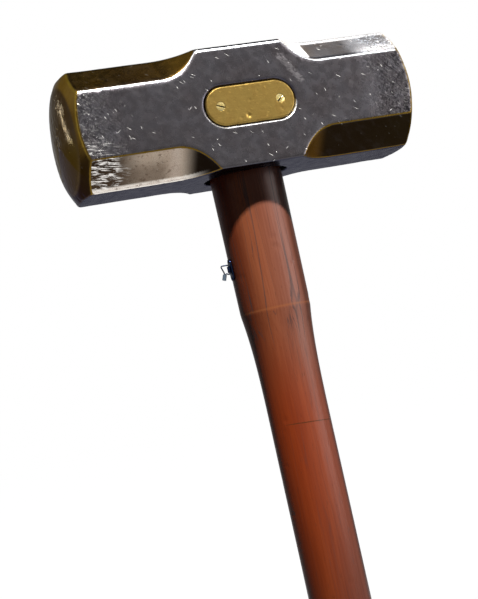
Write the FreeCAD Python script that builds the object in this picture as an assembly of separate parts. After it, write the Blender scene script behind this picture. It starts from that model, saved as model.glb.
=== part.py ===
"""Lump hammer, 4 lb class: forged head, wedged wooden handle, brass plate and a small wire bail.

Millimetres, +Z up.  The origin is on the handle's axis in the plane of the head's underside.
X runs along the head, the front cheek with the brass plate faces -Y, the handle hangs down -Z.
Every sub-part is one node, written to parts/NODE.step.
"""
import FreeCAD
import Part
import math
import os

from FreeCAD import Matrix, Vector

# ---- forged head -------------------------------------------------------------------------
HEAD_LENGTH = 135.0            # over the two crowned faces
HEAD_DEPTH = 42.8              # cheek to cheek
HEAD_HEIGHT = 45.0
FACE_RADIUS = 19.4             # working face, inside its bevel
FACE_CROWN_RADIUS = 90.0       # sphere of the working face
FACE_BEVEL_ANGLE = 29.5        # turned bevel round the face, from the plane of the face
FACE_EDGE_ROUND = 1.6          # between crown and bevel
CORNER_LEG = 10.1              # 45 degree corner flats, measured on each side
CORNER_START = 31.0            # the flats are full depth beyond this distance from the middle
RUNOUT_RADIUS = 19.0           # concave end of each corner flat

# ---- eye through the head ----------------------------------------------------------------
EYE_MOUTH = (16.2, 12.6)       # half axes at the underside
EYE_WAIST = (13.2, 11.1)       # half axes at the narrowest place
EYE_TOP = (15.2, 12.5)         # half axes at the top
EYE_WAIST_HEIGHT = 17.0
TENON_FIT = 0.05               # the wood stands this far off the steel

# ---- wooden handle, an oval of constant proportion ---------------------------------------
HANDLE_OVAL = 0.85             # depth over width
SHOULDER_HALF_WIDTH = 13.75    # where it enters the head
BREAK_HALF_WIDTH = 13.4        # at the crisp edge where the shoulder ends
BREAK_DROP = 50.9              # that edge, below the head
BREAK_SLOPE = 0.14             # narrowing per length just below the edge
BREAK_LEAD = 10.0              # how long that slope holds
GRIP_HALF_WIDTH = 11.45
GRIP_TOP_DROP = 90.5           # the grip is straight from here
GRIP_LEAD = 20.0
SWELL_TOP_DROP = 165.0         # and swells from here
SWELL_HALF_WIDTH = 12.8
SWELL_DROP = 207.0
HANDLE_DROP = 217.5            # lowest point of the rounded butt
BUTT_SIDE_LEAD = 5.5
BUTT_END_LEAD = 8.0
TENON_PROUD = 0.5              # tenon above the head

# ---- wedges in the tenon -----------------------------------------------------------------
WOOD_WEDGE_DEPTH = 31.0
WOOD_WEDGE_THICK = 4.6         # at the top
WOOD_WEDGE_TIP = 1.0
STEEL_WEDGE_DEPTH = 16.0
STEEL_WEDGE_WIDTH = 13.0
STEEL_WEDGE_THICK = 2.6
STEEL_WEDGE_TIP = 0.7
STEEL_WEDGE_SPREAD = 6.6       # from the middle of the eye
STEEL_WEDGE_SUNK = 0.3         # below the end of the tenon

# ---- brass plate and its screws ----------------------------------------------------------
PLATE_HALF_LENGTH = 17.2
PLATE_RADIUS = 7.2
PLATE_THICK = 2.0
PLATE_PROUD = 0.2              # above the cheek
PLATE_EDGE = 0.45              # bevel round the plate
POCKET_FIT = 0.15
POCKET_RIM = 0.75              # bevel round the pocket
SCREW_SPREAD = 11.55           # from the middle of the plate
SCREW_HEAD_RADIUS = 1.65
SCREW_SHANK_RADIUS = 0.8
SCREW_REACH = 5.0              # below the plate
SCREW_SUNK = 0.12              # screw head below the plate's face
SCREW_FIT = 0.03
SLOT_WIDTH = 0.5
SLOT_DEPTH = 0.45
SLOT_TURNS = {"left": 20.0, "right": -45.0}   # degrees about the screw's axis
TAP_SPARE = 0.6                # tapped hole beyond the screw's end

# ---- wire bail on the handle's left side -------------------------------------------------
KEEPER_TOP_DROP = 29.6         # keeper plate, below the head
KEEPER_LENGTH = 8.0
KEEPER_WIDTH = 3.2
KEEPER_THICK = 0.5
BARREL_TOP_DROP = 32.2
BARREL_LENGTH = 2.3
BARREL_WALL = 0.35
WIRE_RADIUS = 0.25
WIRE_FIT = 0.05                # radial running clearance of the wire in the barrel
WIRE_BEND = 0.45
BAIL_REACH = 3.0               # outer corner of the bail from the pivot
BAIL_TOP_DROP = 31.6
BAIL_FOOT_DROP = 35.25
SLEEVE_LENGTH = 2.1
SLEEVE_WALL = 0.2
SLEEVE_TILT = 20.0             # degrees off the handle's direction
SLEEVE_REACH = 2.05            # top of the sleeve from the pivot
SLEEVE_TOP_DROP = 34.95
SLEEVE_FIT = 0.02
SLEEVE_LEAD = 0.55             # bare wire between the sleeve and its nearest bends
KEEPER_PIN_INSET = 0.85        # pin from each end of the keeper plate
KEEPER_PIN_RADIUS = 0.3
KEEPER_PIN_HEAD = 0.6
KEEPER_PIN_DOME = 0.3
KEEPER_PIN_REACH = 4.0         # into the wood
KEEPER_PIN_FIT = 0.02

# ---- worked out from the values above ----------------------------------------------------
MIDDLE = HEAD_HEIGHT / 2
FRONT = -HEAD_DEPTH / 2
TENON_TOP = HEAD_HEIGHT + TENON_PROUD
PLATE_FACE = FRONT - PLATE_PROUD
POCKET_FLOOR = PLATE_FACE + PLATE_THICK
MARGIN = 5.0                   # cutters run this far past what they cut
TOLERANCE = 0.01               # for finding an edge by its place


def face_of(edges):
    """Flat face bounded by the given edges."""
    return Part.Face(Part.Wire(Part.__sortEdges__(edges)))


def polygon_face(points):
    """Flat face with straight sides through the points."""
    return Part.Face(Part.makePolygon(points + [points[0]]))


def line(start, end):
    return Part.LineSegment(start, end).toShape()


def bezier(poles):
    curve = Part.BezierCurve()
    curve.setPoles(poles)
    return curve.toShape()


def mirrored_x(shape):
    return shape.mirror(Vector(0, 0, 0), Vector(1, 0, 0))


def oval_frustum(low, high, low_z, high_z):
    """Solid between two ovals given by their half axes."""
    rings = []
    for (half_width, half_depth), z in ((low, low_z), (high, high_z)):
        oval = Part.Ellipse(Vector(0, 0, z), half_width, half_depth)
        rings.append(Part.Wire(oval.toShape()))
    return Part.makeLoft(rings, True, True)


def stadium(half_length, radius, near, far):
    """Round-ended prism on the front cheek, from y = near to y = far."""
    straight = half_length - radius
    low_left = Vector(-straight, near, MIDDLE - radius)
    low_right = Vector(straight, near, MIDDLE - radius)
    high_right = Vector(straight, near, MIDDLE + radius)
    high_left = Vector(-straight, near, MIDDLE + radius)
    right_end = Part.Arc(low_right, Vector(half_length, near, MIDDLE), high_right).toShape()
    left_end = Part.Arc(high_left, Vector(-half_length, near, MIDDLE), low_left).toShape()
    outline = [line(low_left, low_right), right_end, line(high_right, high_left), left_end]
    return face_of(outline).extrude(Vector(0, far - near, 0))


# ---- head --------------------------------------------------------------------------------
def turned_ends():
    """Solid of revolution along X that gives both crowned faces and their bevels."""
    half = HEAD_LENGTH / 2
    crown_centre = half - FACE_CROWN_RADIUS
    edge_x = crown_centre + math.sqrt(FACE_CROWN_RADIUS ** 2 - FACE_RADIUS ** 2)
    outer = math.hypot(HEAD_DEPTH, HEAD_HEIGHT) / 2 + MARGIN
    bevel_x = edge_x - (outer - FACE_RADIUS) * math.tan(math.radians(FACE_BEVEL_ANGLE))
    mid_angle = 0.5 * math.asin(FACE_RADIUS / FACE_CROWN_RADIUS)
    apex = Vector(half, 0, 0)
    crown_mid = Vector(crown_centre + FACE_CROWN_RADIUS * math.cos(mid_angle), 0,
                       FACE_CROWN_RADIUS * math.sin(mid_angle))
    crown_edge = Vector(edge_x, 0, FACE_RADIUS)
    bevel_edge = Vector(bevel_x, 0, outer)
    profile = face_of([line(Vector(0, 0, 0), apex), Part.Arc(apex, crown_mid, crown_edge).toShape(),
                       line(crown_edge, bevel_edge), line(bevel_edge, Vector(0, 0, outer)),
                       line(Vector(0, 0, outer), Vector(0, 0, 0))])
    end = profile.revolve(Vector(0, 0, 0), Vector(1, 0, 0), 360)
    rim = [edge for edge in end.Edges
           if edge.BoundBox.XLength < TOLERANCE and abs(edge.BoundBox.XMax - edge_x) < TOLERANCE]
    end = end.makeFillet(FACE_EDGE_ROUND, rim)
    end.translate(Vector(0, 0, MIDDLE))
    return end.fuse(mirrored_x(end)).removeSplitter()


def corner_cutter(side_y, side_z):
    """Tool for one corner flat at the +X end: flat floor with a concave run-out."""
    depth = CORNER_LEG / math.sqrt(2)
    top = depth + MARGIN
    reach = math.sqrt(RUNOUT_RADIUS ** 2 - (RUNOUT_RADIUS - top) ** 2)
    half_turn = 0.5 * math.acos((RUNOUT_RADIUS - top) / RUNOUT_RADIUS)
    floor_start = Vector(CORNER_START, 0, 0)
    arc_mid = Vector(CORNER_START - RUNOUT_RADIUS * math.sin(half_turn), 0,
                     RUNOUT_RADIUS * (1 - math.cos(half_turn)))
    arc_end = Vector(CORNER_START - reach, 0, top)
    far_x = HEAD_LENGTH / 2 + MARGIN
    far_floor = Vector(far_x, 0, 0)
    far_top = Vector(far_x, 0, top)
    profile = face_of([line(floor_start, far_floor), line(far_floor, far_top),
                       line(far_top, arc_end), Part.Arc(arc_end, arc_mid, floor_start).toShape()])
    width = 2 * top
    cutter = profile.extrude(Vector(0, 2 * width, 0))
    cutter.translate(Vector(0, -width, 0))
    # turn the tool's +Z onto the corner's diagonal, then seat its floor at the flat's depth
    tilt = math.degrees(math.atan2(-side_y, side_z))
    cutter.rotate(Vector(0, 0, 0), Vector(1, 0, 0), tilt)
    inset = CORNER_LEG / 2
    cutter.translate(Vector(0, side_y * (HEAD_DEPTH / 2 - inset),
                            MIDDLE + side_z * (HEAD_HEIGHT / 2 - inset)))
    return cutter


def eye_space(inset):
    """Hourglass eye, drawn in by inset on its wall; runs past both mouths."""
    mouth, waist, top = [(a - inset, b - inset) for a, b in (EYE_MOUTH, EYE_WAIST, EYE_TOP)]
    lower = oval_frustum(mouth, waist, 0, EYE_WAIST_HEIGHT)
    upper = oval_frustum(waist, top, EYE_WAIST_HEIGHT, HEAD_HEIGHT)
    below = oval_frustum(mouth, mouth, -MARGIN, 0)
    above = oval_frustum(top, top, HEAD_HEIGHT, HEAD_HEIGHT + MARGIN)
    return lower.fuse([upper, below, above])


def edges_at_y(shape, y, within):
    """Edges that lie in the plane of that y, near the middle of the cheek."""
    found = []
    for edge in shape.Edges:
        box = edge.BoundBox
        flat = box.YLength < TOLERANCE and abs(box.YMin - y) < TOLERANCE
        near = max(abs(box.XMin), abs(box.XMax)) < within
        if flat and near and max(box.ZMax - MIDDLE, MIDDLE - box.ZMin) < PLATE_RADIUS + 1:
            found.append(edge)
    return found


def screw_blank(grow):
    """Countersunk screw on the plate's face at x = 0, grown by grow on every radius."""
    cone_depth = SCREW_HEAD_RADIUS - SCREW_SHANK_RADIUS
    head_y = PLATE_FACE + SCREW_SUNK
    towards_back = Vector(0, 1, 0)
    cone = Part.makeCone(SCREW_HEAD_RADIUS + grow, SCREW_SHANK_RADIUS + grow, cone_depth,
                         Vector(0, head_y, MIDDLE), towards_back)
    shank = Part.makeCylinder(SCREW_SHANK_RADIUS + grow, PLATE_THICK + SCREW_REACH - SCREW_SUNK,
                              Vector(0, head_y, MIDDLE), towards_back)
    return cone.fuse(shank)


def screw_places():
    return {"left": -SCREW_SPREAD, "right": SCREW_SPREAD}


def make_head():
    block = Part.makeBox(HEAD_LENGTH, HEAD_DEPTH, HEAD_HEIGHT,
                         Vector(-HEAD_LENGTH / 2, FRONT, 0))
    head = block.common(turned_ends())
    for side_y in (-1, 1):
        for side_z in (-1, 1):
            cutter = corner_cutter(side_y, side_z)
            head = head.cut(cutter).cut(mirrored_x(cutter))
    head = head.cut(eye_space(0))
    pocket = stadium(PLATE_HALF_LENGTH + POCKET_FIT, PLATE_RADIUS + POCKET_FIT,
                     FRONT - MARGIN, POCKET_FLOOR)
    head = head.cut(pocket)
    head = head.makeChamfer(POCKET_RIM, edges_at_y(head, FRONT, PLATE_HALF_LENGTH + MARGIN))
    for x in screw_places().values():
        tapped = Part.makeCylinder(SCREW_SHANK_RADIUS + SCREW_FIT, SCREW_REACH + TAP_SPARE,
                                   Vector(x, POCKET_FLOOR, MIDDLE), Vector(0, 1, 0))
        head = head.cut(tapped)
    return head


# ---- handle and wedges -------------------------------------------------------------------
def handle_below_head():
    """Turned profile from the head down to the butt, squeezed to its oval section."""
    top = Vector(SHOULDER_HALF_WIDTH, 0, 0)
    break_edge = Vector(BREAK_HALF_WIDTH, 0, -BREAK_DROP)
    below_break = Vector(BREAK_HALF_WIDTH - BREAK_SLOPE * BREAK_LEAD, 0, -BREAK_DROP - BREAK_LEAD)
    above_grip = Vector(GRIP_HALF_WIDTH, 0, -GRIP_TOP_DROP + GRIP_LEAD)
    grip_top = Vector(GRIP_HALF_WIDTH, 0, -GRIP_TOP_DROP)
    swell_top = Vector(GRIP_HALF_WIDTH, 0, -SWELL_TOP_DROP)
    swell = Vector(SWELL_HALF_WIDTH, 0, -SWELL_DROP)
    lead = (SWELL_DROP - SWELL_TOP_DROP) / 2
    tip = Vector(0, 0, -HANDLE_DROP)
    outline = [
        line(Vector(0, 0, 0), top),
        line(top, break_edge),
        bezier([break_edge, below_break, above_grip, grip_top]),
        line(grip_top, swell_top),
        bezier([swell_top, swell_top - Vector(0, 0, lead), swell + Vector(0, 0, lead), swell]),
        bezier([swell, swell - Vector(0, 0, BUTT_SIDE_LEAD), tip + Vector(BUTT_END_LEAD, 0, 0), tip]),
        line(tip, Vector(0, 0, 0)),
    ]
    turned = face_of(outline).revolve(Vector(0, 0, 0), Vector(0, 0, 1), 360)
    squeeze = Matrix()
    squeeze.scale(1, HANDLE_OVAL, 1)
    return turned.transformGeometry(squeeze)


def shoulder_half_axes(grow):
    return (SHOULDER_HALF_WIDTH + grow, SHOULDER_HALF_WIDTH * HANDLE_OVAL + grow)


def wood_wedge_space():
    """Tapered kerf along X, from the end of the tenon down."""
    half_top = WOOD_WEDGE_THICK / 2
    half_tip = WOOD_WEDGE_TIP / 2
    tip_z = TENON_TOP - WOOD_WEDGE_DEPTH
    reach = EYE_TOP[0] + MARGIN
    section = polygon_face([Vector(-reach, -half_tip, tip_z), Vector(-reach, half_tip, tip_z),
                            Vector(-reach, half_top, TENON_TOP), Vector(-reach, -half_top, TENON_TOP)])
    return section.extrude(Vector(2 * reach, 0, 0))


def steel_wedge_space(side, top_z):
    """Tapered slot across the eye, up to top_z; the wedge itself stops below the tenon's end."""
    half_top = STEEL_WEDGE_THICK / 2
    half_tip = STEEL_WEDGE_TIP / 2
    tip_z = TENON_TOP - STEEL_WEDGE_SUNK - STEEL_WEDGE_DEPTH
    widen = (half_top - half_tip) * (top_z - tip_z) / STEEL_WEDGE_DEPTH
    middle = side * STEEL_WEDGE_SPREAD
    half_width = STEEL_WEDGE_WIDTH / 2
    section = polygon_face([Vector(middle - half_tip, -half_width, tip_z),
                            Vector(middle + half_tip, -half_width, tip_z),
                            Vector(middle + half_tip + widen, -half_width, top_z),
                            Vector(middle - half_tip - widen, -half_width, top_z)])
    return section.extrude(Vector(0, STEEL_WEDGE_WIDTH, 0))


def tenon_space():
    """What the wood fills inside the eye."""
    filled = eye_space(TENON_FIT)
    entry = oval_frustum(shoulder_half_axes(0), shoulder_half_axes(0), 0, EYE_WAIST_HEIGHT)
    reach = 2 * EYE_MOUTH[0]
    flare = Part.makeBox(reach, reach, TENON_TOP - EYE_WAIST_HEIGHT,
                         Vector(-reach / 2, -reach / 2, EYE_WAIST_HEIGHT))
    return filled.common(entry.fuse(flare))


def make_handle(keeper_pins):
    handle = handle_below_head().fuse(tenon_space()).removeSplitter()
    handle = handle.cut(wood_wedge_space())
    for side in (-1, 1):
        handle = handle.cut(steel_wedge_space(side, TENON_TOP))
    for drop in keeper_pins:
        handle = handle.cut(pin_shank(drop, KEEPER_PIN_FIT))
    return handle


def make_wood_wedge():
    wedge = wood_wedge_space().common(tenon_space())
    for side in (-1, 1):
        wedge = wedge.cut(steel_wedge_space(side, TENON_TOP))
    return wedge


def make_steel_wedge(side):
    return steel_wedge_space(side, TENON_TOP - STEEL_WEDGE_SUNK)


# ---- brass plate -------------------------------------------------------------------------
def make_brass_plate():
    plate = stadium(PLATE_HALF_LENGTH, PLATE_RADIUS, PLATE_FACE, POCKET_FLOOR)
    plate = plate.makeChamfer(PLATE_EDGE, edges_at_y(plate, PLATE_FACE, 2 * PLATE_HALF_LENGTH))
    opening = Part.makeCylinder(SCREW_HEAD_RADIUS + SCREW_FIT, SCREW_SUNK,
                                Vector(0, PLATE_FACE, MIDDLE), Vector(0, 1, 0))
    seat = screw_blank(SCREW_FIT).fuse(opening)
    for x in screw_places().values():
        hole = seat.copy()
        hole.translate(Vector(x, 0, 0))
        plate = plate.cut(hole)
    return plate


def make_plate_screw(name):
    screw = screw_blank(0)
    head_y = PLATE_FACE + SCREW_SUNK
    slot = Part.makeBox(4 * SCREW_HEAD_RADIUS, SLOT_DEPTH, SLOT_WIDTH,
                        Vector(-2 * SCREW_HEAD_RADIUS, head_y, MIDDLE - SLOT_WIDTH / 2))
    slot.rotate(Vector(0, 0, MIDDLE), Vector(0, 1, 0), SLOT_TURNS[name])
    screw = screw.cut(slot)
    screw.translate(Vector(screw_places()[name], 0, 0))
    return screw


# ---- wire bail ---------------------------------------------------------------------------
def shoulder_at(drop):
    """Half width of the shoulder at a drop below the head, above its crisp edge."""
    return SHOULDER_HALF_WIDTH + (BREAK_HALF_WIDTH - SHOULDER_HALF_WIDTH) * drop / BREAK_DROP


KEEPER_FOOT_DROP = KEEPER_TOP_DROP + KEEPER_LENGTH
BARREL_RADIUS = WIRE_RADIUS + WIRE_FIT + BARREL_WALL
PIVOT_X = -(shoulder_at(KEEPER_TOP_DROP) + KEEPER_THICK + WIRE_RADIUS + WIRE_FIT)
PIN_DROPS = {"upper": KEEPER_TOP_DROP + KEEPER_PIN_INSET, "lower": KEEPER_FOOT_DROP - KEEPER_PIN_INSET}


def pin_shank(drop, grow):
    """Pin through the keeper plate into the wood, pointing at the handle's axis."""
    outer = -(shoulder_at(drop) + KEEPER_THICK)
    return Part.makeCylinder(KEEPER_PIN_RADIUS + grow, KEEPER_THICK + KEEPER_PIN_REACH + grow,
                             Vector(outer, 0, -drop), Vector(1, 0, 0))


def make_keeper_plate():
    """Plate curved to the wood, with the barrel that the bail turns in."""
    shell = oval_frustum(
        [shoulder_at(KEEPER_FOOT_DROP) * k + KEEPER_THICK for k in (1, HANDLE_OVAL)],
        [shoulder_at(KEEPER_TOP_DROP) * k + KEEPER_THICK for k in (1, HANDLE_OVAL)],
        -KEEPER_FOOT_DROP, -KEEPER_TOP_DROP)
    blank = Part.makeBox(2 * MARGIN, KEEPER_WIDTH, KEEPER_LENGTH,
                         Vector(PIVOT_X - MARGIN, -KEEPER_WIDTH / 2, -KEEPER_FOOT_DROP))
    round_over = Part.makeCylinder(KEEPER_WIDTH / 2, 2 * MARGIN, Vector(PIVOT_X - MARGIN, 0, 0),
                                   Vector(1, 0, 0))
    top_end = round_over.copy()
    top_end.translate(Vector(0, 0, -KEEPER_TOP_DROP - KEEPER_WIDTH / 2))
    foot_end = round_over.copy()
    foot_end.translate(Vector(0, 0, -KEEPER_FOOT_DROP + KEEPER_WIDTH / 2))
    middle = Part.makeBox(2 * MARGIN, KEEPER_WIDTH, KEEPER_LENGTH - KEEPER_WIDTH,
                          Vector(PIVOT_X - MARGIN, -KEEPER_WIDTH / 2,
                                 -KEEPER_FOOT_DROP + KEEPER_WIDTH / 2))
    outline = blank.common(middle.fuse([top_end, foot_end]))
    plate = shell.common(outline)
    barrel = Part.makeCylinder(BARREL_RADIUS, BARREL_LENGTH,
                               Vector(PIVOT_X, 0, -BARREL_TOP_DROP - BARREL_LENGTH))
    bore = Part.makeCylinder(WIRE_RADIUS + WIRE_FIT, BARREL_LENGTH + 2 * MARGIN,
                             Vector(PIVOT_X, 0, -BARREL_TOP_DROP - BARREL_LENGTH - MARGIN))
    keeper = plate.fuse(barrel).cut(bore).cut(handle_below_head())
    for drop in PIN_DROPS.values():
        keeper = keeper.cut(pin_shank(drop, KEEPER_PIN_FIT)).cut(pin_dome(drop))
    return keeper


def pin_dome(drop):
    """Domed head of a keeper pin, flat where it bears on the plate."""
    seat = Vector(-(shoulder_at(drop) + KEEPER_THICK), 0, -drop)
    ball_radius = (KEEPER_PIN_HEAD ** 2 + KEEPER_PIN_DOME ** 2) / (2 * KEEPER_PIN_DOME)
    ball = Part.makeSphere(ball_radius, seat + Vector(ball_radius - KEEPER_PIN_DOME, 0, 0))
    cap = Part.makeBox(KEEPER_PIN_DOME, 2 * KEEPER_PIN_HEAD, 2 * KEEPER_PIN_HEAD,
                       seat - Vector(KEEPER_PIN_DOME, KEEPER_PIN_HEAD, KEEPER_PIN_HEAD))
    return ball.common(cap)


def make_keeper_pin(drop):
    return pin_shank(drop, 0).fuse(pin_dome(drop))


def rounded_wire(points, bend):
    """Wire of straight runs joined by tangent arcs of one radius."""
    edges = []
    last = points[0]
    for before, corner, after in zip(points, points[1:], points[2:]):
        back = (before - corner).normalize()
        ahead = (after - corner).normalize()
        half_turn = (math.pi - back.getAngle(ahead)) / 2
        tangent = bend * math.tan(half_turn)
        start = corner + back * tangent
        end = corner + ahead * tangent
        inward = (back + ahead).normalize()
        centre = corner + inward * (bend / math.cos(half_turn))
        edges.append(line(last, start))
        edges.append(Part.Arc(start, centre - inward * bend, end).toShape())
        last = end
    edges.append(line(last, points[-1]))
    return Part.Wire(edges)


def round_bar(path, radius):
    """Bar of round section along a wire."""
    start = path.OrderedEdges[0].valueAt(path.OrderedEdges[0].FirstParameter)
    direction = path.OrderedEdges[0].tangentAt(path.OrderedEdges[0].FirstParameter)
    section = Part.Wire(Part.makeCircle(radius, start, direction))
    return path.makePipeShell([section], True, False)


def sleeve_frame():
    """Top centre of the crimp sleeve, its direction down and its sideways direction."""
    tilt = math.radians(SLEEVE_TILT)
    top = Vector(PIVOT_X - SLEEVE_REACH, 0, -SLEEVE_TOP_DROP)
    return top, Vector(-math.sin(tilt), 0, -math.cos(tilt)), Vector(-math.cos(tilt), 0, math.sin(tilt))


def make_wire_loop():
    top, down, outward = sleeve_frame()
    apart = WIRE_RADIUS + SLEEVE_FIT
    end = top + down * (SLEEVE_LENGTH - WIRE_RADIUS)
    lead = top - down * SLEEVE_LEAD
    outer_corner = Vector(PIVOT_X - BAIL_REACH, 0, -BAIL_TOP_DROP)
    path = rounded_wire([
        end + outward * apart,
        lead + outward * apart,
        outer_corner,
        Vector(PIVOT_X, 0, -BAIL_TOP_DROP),
        Vector(PIVOT_X, 0, -BAIL_FOOT_DROP),
        lead - outward * apart,
        end - outward * apart,
    ], WIRE_BEND)
    return round_bar(path, WIRE_RADIUS)


def sleeve_prism(half_thick, start, length):
    """Prism of oval section round both wires, from start along the sleeve."""
    top, down, outward = sleeve_frame()
    across = Vector(0, half_thick, 0)
    near = top + down * start - outward * (WIRE_RADIUS + SLEEVE_FIT)
    far = top + down * start + outward * (WIRE_RADIUS + SLEEVE_FIT)
    near_end = Part.Arc(near + across, near - outward * half_thick, near - across).toShape()
    far_end = Part.Arc(far - across, far + outward * half_thick, far + across).toShape()
    outline = [near_end, line(near - across, far - across), far_end, line(far + across, near + across)]
    return face_of(outline).extrude(down * length)


def make_crimp_sleeve():
    """Oval sleeve squeezed round the two ends of the wire."""
    inner = WIRE_RADIUS + SLEEVE_FIT
    sleeve = sleeve_prism(inner + SLEEVE_WALL, 0, SLEEVE_LENGTH)
    return sleeve.cut(sleeve_prism(inner, -MARGIN, SLEEVE_LENGTH + 2 * MARGIN))


def build():
    """Every node of the hammer by name."""
    nodes = {
        "head": make_head(),
        "handle": make_handle(PIN_DROPS.values()),
        "wood_wedge": make_wood_wedge(),
        "steel_wedge_left": make_steel_wedge(-1),
        "steel_wedge_right": make_steel_wedge(1),
        "brass_plate": make_brass_plate(),
        "keeper_plate": make_keeper_plate(),
        "wire_loop": make_wire_loop(),
        "crimp_sleeve": make_crimp_sleeve(),
    }
    for name in screw_places():
        nodes["plate_screw_" + name] = make_plate_screw(name)
    for name, drop in PIN_DROPS.items():
        nodes["keeper_pin_" + name] = make_keeper_pin(drop)
    return nodes


def main():
    os.makedirs("parts", exist_ok=True)
    for name, shape in build().items():
        box = shape.BoundBox
        print(name, "solids", len(shape.Solids), "valid", shape.isValid(), "volume", round(shape.Volume, 2),
              "box", [round(v, 2) for v in (box.XMin, box.YMin, box.ZMin, box.XMax, box.YMax, box.ZMax)])
        shape.exportStep("parts/" + name + ".step")


main()
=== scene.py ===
"""Lump hammer, dressed: worn forged head, lacquered handle, brass plate and a small wire bail.

Metres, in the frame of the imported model: +Z up, X along the head, the front cheek faces -Y, and
the origin is on the handle's axis in the plane of the head's underside.
"""
import math

import bmesh
import bpy
import numpy as np
from mathutils import Matrix, Quaternion, Vector


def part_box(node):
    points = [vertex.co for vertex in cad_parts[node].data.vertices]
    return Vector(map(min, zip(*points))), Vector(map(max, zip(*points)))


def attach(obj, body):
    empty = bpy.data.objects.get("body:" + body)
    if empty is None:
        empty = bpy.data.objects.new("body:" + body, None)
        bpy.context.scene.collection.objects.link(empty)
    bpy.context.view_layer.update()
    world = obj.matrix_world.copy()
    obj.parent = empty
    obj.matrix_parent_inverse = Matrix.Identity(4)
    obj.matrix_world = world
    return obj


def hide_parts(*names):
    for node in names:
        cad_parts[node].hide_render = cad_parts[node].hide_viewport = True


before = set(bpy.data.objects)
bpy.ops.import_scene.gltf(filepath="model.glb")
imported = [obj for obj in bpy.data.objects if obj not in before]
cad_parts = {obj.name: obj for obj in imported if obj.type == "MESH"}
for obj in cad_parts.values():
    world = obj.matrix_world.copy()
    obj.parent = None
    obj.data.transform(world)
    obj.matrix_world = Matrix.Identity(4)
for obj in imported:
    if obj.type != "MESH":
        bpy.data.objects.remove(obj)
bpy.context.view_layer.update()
MM = 0.001

# ---- places read from the frame --------------------------
HEAD_LOW, HEAD_HIGH = (np.array(corner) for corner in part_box("head"))
HEAD_MIDDLE = (HEAD_LOW + HEAD_HIGH) / 2
HALF_LENGTH, HALF_DEPTH, HALF_HEIGHT = (HEAD_HIGH - HEAD_LOW) / 2
PLATE_LOW, PLATE_HIGH = (np.array(corner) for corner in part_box("brass_plate"))
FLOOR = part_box("handle")[0][2]

# ---- forged head, as the CAD head has it, and its rounded edges ----
CROWN_RADIUS = 90 * MM
FACE_RADIUS = 19.4 * MM
BEVEL_ANGLE = math.radians(29.5)
CORNER_LEG = 10.1 * MM
CORNER_START = 31 * MM
RUNOUT_RADIUS = 19 * MM
PLATEAU_ROUND = 2.7 * MM        # beside the top
UPPER_ROUND = 1.5 * MM          # the other upper edges and the pocket's rim
LOWER_ROUND = 0.9 * MM
FACE_ROUND = 0.6 * MM           # between crown and bevel
POCKET_FIT = 0.15 * MM
PLATE_RADIUS = (PLATE_HIGH - PLATE_LOW)[2] / 2
PLATE_HALF_LENGTH = (PLATE_HIGH - PLATE_LOW)[0] / 2
HEAD_CELL = 0.56 * MM           # size of the faces that the head is cut into

# ---- handle profile, as the CAD handle has it ------------
OVAL = 0.85
SHOULDER = 13.75 * MM
BREAK = 13.4 * MM
BREAK_DROP = 50.9 * MM
BREAK_SLOPE = 0.14
BREAK_LEAD = 10 * MM
GRIP = 11.45 * MM
GRIP_TOP = 90.5 * MM
GRIP_LEAD = 20 * MM
SWELL_TOP = 165 * MM
SWELL = 12.8 * MM
SWELL_DROP = 207 * MM
BUTT_SIDE_LEAD = 5.5 * MM
BUTT_END_LEAD = 8 * MM
INTO_EYE = 9 * MM               # the turned surface runs this far up into the eye

RANDOM = np.random.default_rng(41)


# ---- camera, lamps, world and floor ----------------------
CAMERA_PLACE = Vector((-185.1, -489.1, -85.9)) * MM
CAMERA_AIM = Vector((-13.1, 0, -44.8)) * MM
CAMERA_ROLL = math.radians(-12.49)
CAMERA_LENS = 85.2
AMBIENT = 0.02
BEHIND_CAMERA = 0.65            # how bright reflections show the room behind the camera
BEYOND = 0.35                   # the room beside and beyond the object
OVERHEAD = 0.28                 # and overhead
FLOOR_HALF_SIZE = 20
FLOOR_GLOW = 0.93               # the floor near the object, as the camera sees it
FLOOR_SHEEN = 0.45              # and far from the object, as reflections show it


def new_object(name, data):
    thing = bpy.data.objects.new(name, data)
    bpy.context.scene.collection.objects.link(thing)
    return thing


def new_material(name):
    material = bpy.data.materials.new(name)
    material.use_nodes = True
    return material


def mesh_from(bm, name):
    mesh = bpy.data.meshes.new(name)
    bm.to_mesh(mesh)
    bm.free()
    return mesh


def make_camera():
    data = bpy.data.cameras.new("camera")
    data.lens = CAMERA_LENS
    data.sensor_width = 36
    data.clip_start = 0.01
    data.clip_end = 50
    camera = new_object("camera", data)
    ahead = (CAMERA_AIM - CAMERA_PLACE).normalized()
    level = ahead.cross(Vector((0, 0, 1))).normalized()
    upright = level.cross(ahead)
    right = level * math.cos(CAMERA_ROLL) + upright * math.sin(CAMERA_ROLL)
    up = right.cross(ahead)
    turn = Matrix((right, up, -ahead)).transposed()
    camera.matrix_world = Matrix.Translation(CAMERA_PLACE) @ turn.to_4x4()
    bpy.context.scene.camera = camera


def make_softbox(name, aim, direction, distance, size, radiance, reflected_only=True, roll=0.0,
                 colour=(1, 1, 1)):
    """Area lamp that looks at aim from a direction, with the brightness it shows in a mirror."""
    data = bpy.data.lights.new(name, "AREA")
    data.shape = "RECTANGLE"
    data.size, data.size_y = size
    data.energy = radiance * math.pi * size[0] * size[1]
    data.color = colour
    lamp = new_object(name, data)
    away = Vector(direction).normalized()
    lamp.location = Vector(aim) + away * distance
    lamp.rotation_mode = "QUATERNION"
    lamp.rotation_quaternion = away.to_track_quat("Z", "Y") @ Quaternion((0, 0, 1), math.radians(roll))
    lamp.visible_diffuse = not reflected_only


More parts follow.
